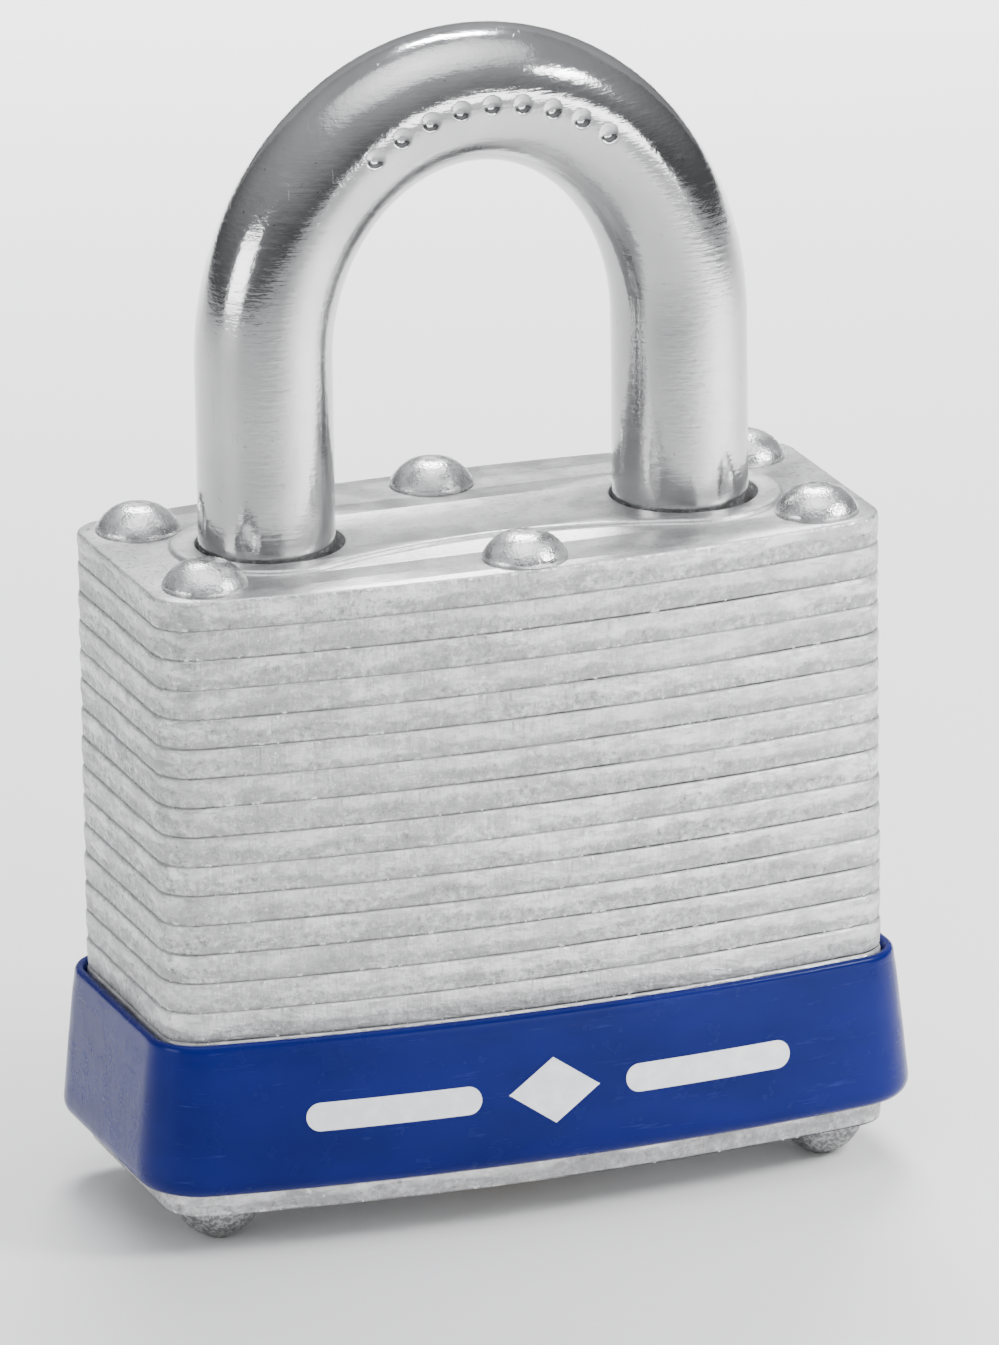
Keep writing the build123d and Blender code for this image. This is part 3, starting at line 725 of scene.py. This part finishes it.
corner_spots = [(sx * CORNER_RIVET[0], sy * CORNER_RIVET[1]) for sx in (-1, 1) for sy in (-1, 1)]
middle_spots = [(0, -MIDDLE_RIVET), (0, MIDDLE_RIVET)]
middle_end = STACK_HIGH - MIDDLE_RIVET_PLATES * PITCH
# the bottom heads reach down to the surface that the lock stands on
make_rivets("corner_rivets_peened", corner_spots, CORNER_SHANK, STACK_LOW, STACK_LOW, "corner_rivets")
make_rivets("middle_rivets_peened", middle_spots, MIDDLE_SHANK, middle_end, 0, "middle_rivets")


# ---------------------------------------------------------------- shackle

ARCH_RISE = 13.1 * MM
SPRING_LINE = shackle_high.z - BAR_RADIUS - ARCH_RISE
TOE_END = STACK_HIGH - 10.2 * MM
HEEL_END = shackle_low.z
FOOT_TOP = HEEL_END + 1.9 * MM
NECK_TOP = STACK_HIGH - 11.0 * MM
NECK_RADIUS = 2.5 * MM
END_BEVEL = 0.5 * MM
LEVER_SKIN = 0.06875 * MM  # room above and below a lever in its plate
NOTCH_BELOW, NOTCH_ABOVE = 3.6 * MM, 1.55 * MM  # from the lever's lower face
NOTCH_FLOOR = LEG_X - BAR_RADIUS + 1.3 * MM
DOT_SPACING, DOT_RADIUS, DOT_DEPTH, DOT_SLOPE = 1.75 * MM, 0.5 * MM, 0.14 * MM, 0.25 * MM
DOTS_EACH_SIDE = 4
DOT_LINE = math.radians(88)  # from the outside of the bend towards the front
RING, BENDS, LEG_STEPS = 192, 360, 40


def leg_rows(side):
    """Rows of one leg from its end upwards: (height, radius, notched)."""
    end = TOE_END if side > 0 else HEEL_END
    plate = FRONT_LEVER_PLATE if side > 0 else REAR_LEVER_PLATE
    lever_low = STACK_HIGH - plate * PITCH + LEVER_SKIN
    notch_low, notch_high = lever_low - NOTCH_BELOW, lever_low + NOTCH_ABOVE
    rows = [(end, BAR_RADIUS - END_BEVEL, False), (end + END_BEVEL, BAR_RADIUS, False)]
    if side < 0:
        rows += [(FOOT_TOP, BAR_RADIUS, False), (FOOT_TOP, NECK_RADIUS, False)]
        rows += [(NECK_TOP, NECK_RADIUS, False), (NECK_TOP, BAR_RADIUS, False)]
    rows += [(notch_low, BAR_RADIUS, False), (notch_low, BAR_RADIUS, True)]
    rows += [(notch_high, BAR_RADIUS, True), (notch_high, BAR_RADIUS, False)]
    rise = (SPRING_LINE - notch_high) / LEG_STEPS
    rows += [(notch_high + rise * i, BAR_RADIUS, False) for i in range(1, LEG_STEPS)]
    return rows


def leg_ring(side, z, radius, notched):
    """Points round a leg, from its inner side on. The notch cuts its inner side flat."""
    points = []
    for k in range(RING):
        a = 2 * math.pi * k / RING
        reach = LEG_X - radius * math.cos(a)
        if notched:
            reach = max(reach, NOTCH_FLOOR)
        points.append((SHACKLE_X + side * reach, SHACKLE_Y + radius * math.sin(a), z))
    return points


def stamped(along, around):
    """Depth of a row of small pressed dots on the front of the arch."""
    number = round(along / DOT_SPACING)
    if abs(number) > DOTS_EACH_SIDE:
        return 0.0
    inside = DOT_RADIUS - math.hypot(along - number * DOT_SPACING, around)
    return DOT_DEPTH * max(0.0, min(1.0, inside / DOT_SLOPE))


def arch_ring(t):
    """Points round the bar at an angle of the arch, from its inner side on."""
    centre = Vector((LEG_X * math.cos(t), 0, SPRING_LINE + ARCH_RISE * math.sin(t)))
    outward = Vector((ARCH_RISE * math.cos(t), 0, LEG_X * math.sin(t))).normalized()
    points = []
    for k in range(RING):
        a = 2 * math.pi * k / RING
        way = Vector((-math.cos(a) * outward.x, math.sin(a), -math.cos(a) * outward.z))
        # 0 on the outside of the bend, a quarter turn at the front
        angle = math.atan2(-math.sin(a), -math.cos(a))
        dent = stamped((math.pi / 2 - t) * LEG_X * 1.05, (angle - DOT_LINE) * BAR_RADIUS)
        p = centre + way * (BAR_RADIUS - dent)
        points.append((SHACKLE_X + p.x, SHACKLE_Y + p.y, p.z))
    return points


def make_shackle():
    shell = Shell()
    rings = [shell.ring(leg_ring(-1, *row)) for row in leg_rows(-1)]
    rings += [shell.ring(arch_ring(math.pi - math.pi * i / BENDS)) for i in range(BENDS + 1)]
    rings += [shell.ring(leg_ring(1, *row)) for row in reversed(leg_rows(1))]
    shell.skin(rings)
    shell.fan(rings[0], (SHACKLE_X - LEG_X, SHACKLE_Y, HEEL_END))
    shell.fan(rings[-1], (SHACKLE_X + LEG_X, SHACKLE_Y, TOE_END))
    piece = new_piece("shackle_polished", shell.verts, shell.faces, SHACKLE)
    sharpen(piece, 40)
    finish_piece(piece, "shackle", "polished_steel", "shackle")


make_shackle()


# ---------------------------------------------------------------- bumper

BUMPER_LOW = bumper_low.z
# the sleeve's section from its inner lower edge, outwards and up: height and growth, in mm
BUMPER_ROWS = [
    (0.25, 0.10), (0.06, 0.22), (0.0, 0.45), (0.03, 0.78), (0.16, 1.05), (0.36, 1.25), (0.62, 1.37),
    (0.95, 1.40), (1.8, 1.32), (2.8, 1.22), (4.0, 1.10), (5.2, 0.97), (6.2, 0.87), (6.9, 0.79), (7.3, 0.73),
    (7.6, 0.68), (7.85, 0.66), (8.02, 0.61), (8.11, 0.53), (8.15, 0.43), (8.15, 0.32), (8.11, 0.22),
    (8.0, 0.14), (7.7, 0.10), (6.0, 0.10), (4.0, 0.10), (2.0, 0.10),
]
OUTER_ROWS = BUMPER_ROWS[7:16]


def make_bumper():
    shell = Shell()
    rings = []
    for height, growth in BUMPER_ROWS:
        loop = plate_loop(0, 0.3 * MM)
        points = []
        for x, y in grown(loop, growth * MM):
            # the soft sleeve sits a little unevenly
            sway = 0.0008 * (1 + noise.noise(Vector((x * 70, y * 70, height * 0.1)))) * growth
            points.append((x * (1 - sway), y * (1 - sway), BUMPER_LOW + height * MM))
        rings.append(shell.ring(points))
    for lower, upper in zip(rings, rings[1:] + rings[:1]):
        shell.bridge(lower, upper)
    piece = new_piece("bumper_moulded", shell.verts, shell.faces, BLUE)
    sharpen(piece, 60)
    finish_piece(piece, "body", "blue_plastic", "bumper")


make_bumper()


def bumper_front(x, z):
    """The y of the sleeve's front at a place on it."""
    height = (z - BUMPER_LOW) / MM
    for (h0, g0), (h1, g1) in zip(OUTER_ROWS, OUTER_ROWS[1:]):
        if h0 <= height <= h1:
            growth = (g0 + (g1 - g0) * (height - h0) / (h1 - h0)) * MM
            break
    radius = FACE_RADIUS + growth
    return FACE_RADIUS - HALF_DEPTH - math.sqrt(radius**2 - x**2)


def print_patch(shell, columns, rows, place):
    """A thin closed patch of ink. place gives x and z for two shares from 0 to 1."""
    front, back = [], []
    for i in range(columns + 1):
        for k in range(rows + 1):
            x, z = place(i / columns, k / rows)
            y = bumper_front(x, z)
            front.append((x, y - 0.02 * MM, z))
            back.append((x, y + 0.03 * MM, z))
    high, low = shell.ring(front), shell.ring(back)
    step = rows + 1
    for i in range(columns):
        for k in range(rows):
            a = i * step + k
            quad = (a, a + step, a + step + 1, a + 1)
            shell.faces.append(tuple(high[q] for q in quad))
            shell.faces.append(tuple(low[q] for q in reversed(quad)))
    rim = [i * step for i in range(columns)] + [columns * step + k for k in range(rows)]
    rim += [i * step + rows for i in range(columns, 0, -1)] + [k for k in range(rows, 0, -1)]
    shell.bridge([low[r] for r in rim], [high[r] for r in rim])


def make_print():
    """Plain printed marks on the bumper's front: a lozenge between two bars with round ends."""
    shell = Shell()
    middle = BUMPER_LOW + 4.0 * MM
    half_bar, bar_start, bar_end = 0.75 * MM, 4.0 * MM, 13.4 * MM

    def bar(side):
        def place(along, across):
            x = bar_start + (bar_end - bar_start) * (0.5 - 0.5 * math.cos(math.pi * along))
            from_end = min(x - bar_start, bar_end - x, half_bar)
            half = math.sqrt(max(0.01 * half_bar**2, half_bar**2 - (half_bar - from_end) ** 2))
            return side * x, middle + (2 * across - 1) * half

        return place

    def lozenge(along, across):
        x = (2 * along - 1) * 2.5 * MM
        half = 1.75 * MM * max(0.01, 1 - abs(2 * along - 1))
        return x, middle + (2 * across - 1) * half

    print_patch(shell, 60, 6, bar(1))
    print_patch(shell, 60, 6, bar(-1))
    print_patch(shell, 40, 8, lozenge)
    piece = new_piece("bumper_print", shell.verts, shell.faces, PRINT)
    sharpen(piece, 50)
    finish_piece(piece, "body", "blue_plastic")


make_print()


# ---------------------------------------------------------------- hidden parts and the plug


def paint(material, *starts):
    for node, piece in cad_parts.items():
        if node.startswith(starts) and not piece.hide_render:
            piece.data.materials.clear()
            piece.data.materials.append(material)


def wind_spring(node, axis, wire, turns):
    """A compression spring in a node's place, wound along X (axis 0) or Z (axis 2)."""
    per_turn, sides = 30, 10
    low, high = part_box(node)
    along, across = Vector((0, 0, 0)), Vector((0, 0, 0))
    along[axis], across[(axis + 1) % 3] = 1, 1
    third = along.cross(across)
    radius = (high - low)[(axis + 2) % 3] / 2 - wire
    length = (high - low)[axis] - 2 * wire
    start = (low + high) / 2 - along * length / 2
    shell = Shell()
    rings = []
    for i in range(turns * per_turn + 1):
        angle = 2 * math.pi * i / per_turn
        outward = across * math.cos(angle) + third * math.sin(angle)
        centre = start + along * length * i / (turns * per_turn) + outward * radius
        points = []
        for k in range(sides):
            a = 2 * math.pi * k / sides
            points.append(tuple(centre + (outward * math.cos(a) + along * math.sin(a)) * wire))
        rings.append(shell.ring(points))
    shell.skin(rings)
    shell.faces += [tuple(rings[0]), tuple(rings[-1])]
    piece = new_piece(node + "_wound", shell.verts, shell.faces, SPRING)
    sharpen(piece, 60)
    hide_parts(node)
    return piece


def make_pin_spring(number):
    """A pin's spring, which the driver presses against the cover."""
    node, joint = f"pin_spring_{number}", f"driver_pin_{number}_slide"
    piece = wind_spring(node, 0, 0.15 * MM, 6)
    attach(piece, "body")
    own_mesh(piece)


def make_shackle_spring():
    """The spring that lifts the shackle: it stands on its seat plate."""
    piece = wind_spring("shackle_spring", 2, 0.25 * MM, 6)
    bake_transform(piece)


make_shackle_spring()
for number in range(1, 5):
    make_pin_spring(number)

paint(TOOL, "front_lever", "rear_lever", "cam", "shackle_retainer")
paint(BRASS, "plug", "cylinder_housing", "key_pin", "driver_pin", "pin_spring_cover")
paint(SPRING, "front_lever_spring", "rear_lever_spring")


# ---------------------------------------------------------------- studio


def make_floor():
    bpy.ops.mesh.primitive_circle_add(vertices=96, radius=1.6, fill_type="NGON")
    floor = bpy.context.object
    floor.name = "floor"
    n = Nodes("pale_floor")
    soft = n.noise(n.stretch((30, 30, 30)), detail=2.0)
    tone = n.mix(soft, (0.86, 0.86, 0.86), (0.88, 0.88, 0.88))
    floor.data.materials.append(n.surface(Base_Color=tone, Roughness=0.6))


def make_light(name, place, target, width, height, power, spread=180):
    lamp = bpy.data.lights.new(name, "AREA")
    lamp.shape = "RECTANGLE"
    lamp.size, lamp.size_y, lamp.energy = width, height, power
    lamp.spread = math.radians(spread)
    light = bpy.data.objects.new(name, lamp)
    bpy.context.scene.collection.objects.link(light)
    light.location = place
    light.rotation_euler = (Vector(target) - Vector(place)).to_track_quat("-Z", "Y").to_euler()


def make_world():
    world = bpy.data.worlds.new("studio")
    bpy.context.scene.world = world
    world.use_nodes = True
    tree = world.node_tree
    sky = tree.nodes["Background"]
    sky.inputs["Color"].default_value = (0.94, 0.96, 1.0, 1)
    # brighter overhead than at the horizon, as under a soft tent
    place = tree.nodes.new("ShaderNodeTexCoord")
    split = tree.nodes.new("ShaderNodeSeparateXYZ")
    rise = tree.nodes.new("ShaderNodeMapRange")
    for socket, value in (("From Min", 0.05), ("From Max", 0.7), ("To Min", 0.13), ("To Max", 0.62)):
        rise.inputs[socket].default_value = value
    tree.links.new(place.outputs["Generated"], split.inputs[0])
    tree.links.new(split.outputs["Z"], rise.inputs["Value"])
    tree.links.new(rise.outputs["Result"], sky.inputs["Strength"])


make_floor()
make_world()
make_light("key", (0.22, -0.15, 0.22), (0.14, -0.09, 0.0), 0.1, 0.1, 0.5, 70)
make_light("front", (0.45, -0.95, 0.12), (0, 0, 0.03), 0.7, 0.2, 3.5)
make_light("left", (-0.6, -0.12, 0.14), (0, 0, 0.03), 0.3, 0.2, 1.3)
make_light("top", (0.0, -0.12, 0.8), (0, -0.05, 0.03), 1.0, 0.8, 1.4, 80)
make_light("behind", (0.42, 1.15, 0.42), (0, 0, 0.035), 1.9, 0.7, 1.0)
make_light("backdrop", (0.34, 0.95, 1.0), (0.22, 0.6, 0.0), 0.5, 0.5, 14.0, 50)


# ---------------------------------------------------------------- camera


def make_camera():
    yaw, rise, roll = math.radians(20.085), math.radians(17.802), math.radians(-0.837)
    distance, aim = 0.6978, Vector((0, 0, 0.027))
    forward = Vector((math.sin(yaw) * math.cos(rise), math.cos(yaw) * math.cos(rise), -math.sin(rise)))
    right = Vector((math.cos(yaw), -math.sin(yaw), 0))
    aim += right * 1.017 * MM
    up = right.cross(forward)
    side = right * math.cos(roll) + up * math.sin(roll)
    head = up * math.cos(roll) - right * math.sin(roll)
    data = bpy.data.cameras.new("camera")
    data.sensor_width, data.lens = 36, 358.1
    data.clip_start, data.clip_end = 0.05, 10
    camera = bpy.data.objects.new("camera", data)
    bpy.context.scene.collection.objects.link(camera)
    rows = [(*[v[i] for v in (side, head, -forward)], (aim - forward * distance)[i]) for i in range(3)]
    camera.matrix_world = Matrix([*rows, (0, 0, 0, 1)])
    bpy.context.scene.camera = camera


make_camera()
